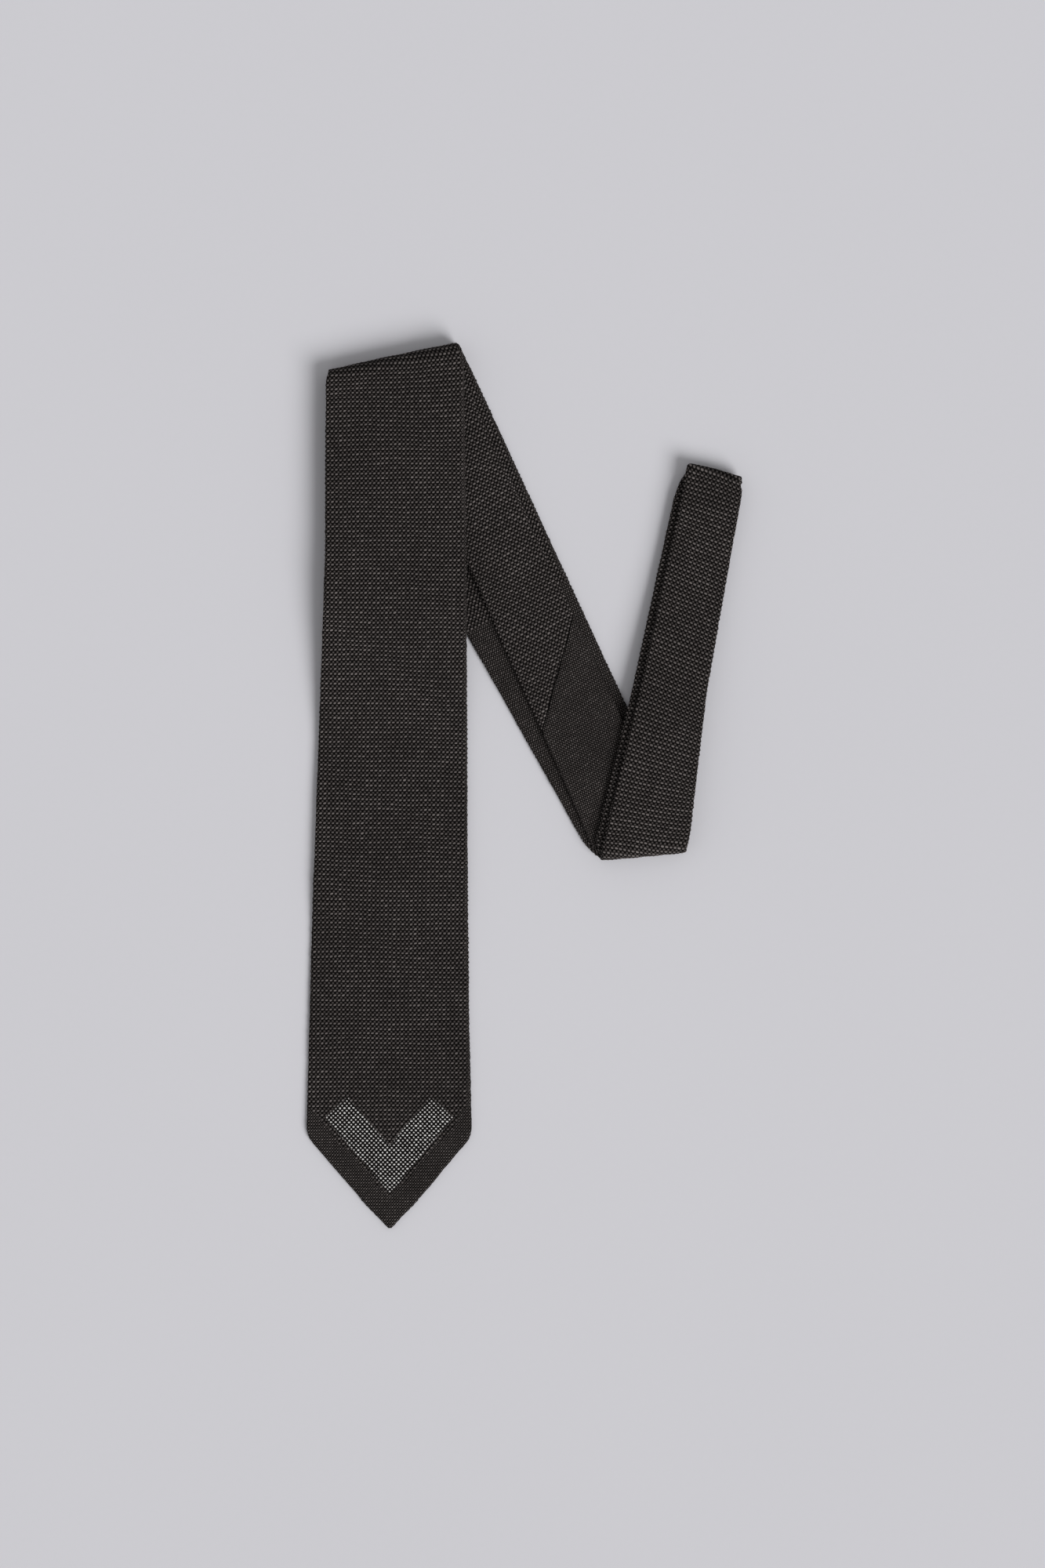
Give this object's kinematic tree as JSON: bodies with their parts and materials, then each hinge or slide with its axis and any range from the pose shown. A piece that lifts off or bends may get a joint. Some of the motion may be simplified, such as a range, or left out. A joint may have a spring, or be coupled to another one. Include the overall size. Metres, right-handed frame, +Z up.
{
  "type": "necktie",
  "caption": "Slim woven necktie with a pointed blade, doubled at the neck and folded into a flat zigzag, with lining, keeper loop and tail end on the back.",
  "frame": {"origin": "on the table, under the middle of the folded tie's bounding box", "axes": "+Y along the front blade from its tip to the top crease, +X to the right seen from above, +Z up from the table"},
  "size_m": [0.216, 0.4375, 0.0119],
  "materials": {
    "tie_cloth": "matt open weave, dark brown-grey",
    "interlining": "brushed wool blend, charcoal",
    "tipping": "smooth satin lining, near black",
    "sewing_thread": "twisted silk thread, dark brown",
    "label": "blank woven satin label, dark grey"
  },
  "bodies": {
    "middle_run": {"front_cloth_lower_run": "tie_cloth", "neck_cloth_lower_run": "tie_cloth", "interlining_lower_run": "interlining", "slip_stitch_lower_run": "sewing_thread", "tail_cloth_upper_run": "tie_cloth", "neck_cloth_upper_run": "tie_cloth", "interlining_upper_run": "interlining", "slip_stitch_upper_run": "sewing_thread", "front_cloth_crease": "tie_cloth", "tail_cloth_crease": "tie_cloth", "neck_cloth_outer_crease": "tie_cloth", "neck_cloth_inner_crease": "tie_cloth"},
    "front_blade": {"front_cloth_blade": "tie_cloth", "interlining_blade": "interlining", "slip_stitch_blade": "sewing_thread", "front_tipping": "tipping", "front_bar_tack": "sewing_thread", "keeper_loop": "tie_cloth", "keeper_tacks": "sewing_thread", "blank_label": "label", "label_stitches": "sewing_thread"},
    "tail_end": {"tail_cloth_end": "tie_cloth", "interlining_tail_end": "interlining", "slip_stitch_tail_end": "sewing_thread", "tail_tipping": "tipping", "tail_bar_tack": "sewing_thread"},
    "neck_loop": {"neck_cloth_loop": "tie_cloth", "interlining_neck_loop": "interlining", "slip_stitch_near_neck_run": "sewing_thread", "slip_stitch_far_neck_run": "sewing_thread"}
  },
  "joints": [
    {"name": "front_blade_fold", "type": "hinge", "parent": "middle_run", "child": "front_blade", "pos_m": [-0.06438, 0.20609, 0.00595], "axis": [-0.9779, -0.2089, 0], "range_deg": [0, 179.5], "deforming": ["front_cloth_crease"]},
    {"name": "tail_end_fold", "type": "hinge", "parent": "middle_run", "child": "tail_end", "pos_m": [-0.06438, 0.20609, 0.00595], "axis": [-0.9779, -0.2089, 0], "range_deg": [0, 179.5], "deforming": ["tail_cloth_crease"]},
    {"name": "neck_loop_fold", "type": "hinge", "parent": "middle_run", "child": "neck_loop", "pos_m": [0.05574, -0.0302, 0.00595], "axis": [0.9957, 0.0927, 0], "range_deg": [0, 179.5], "deforming": ["neck_cloth_outer_crease", "neck_cloth_inner_crease"]}
  ],
  "couplings": [
    {"joint": "tail_end_fold", "follows": "front_blade_fold", "ratio": 1}
  ]
}
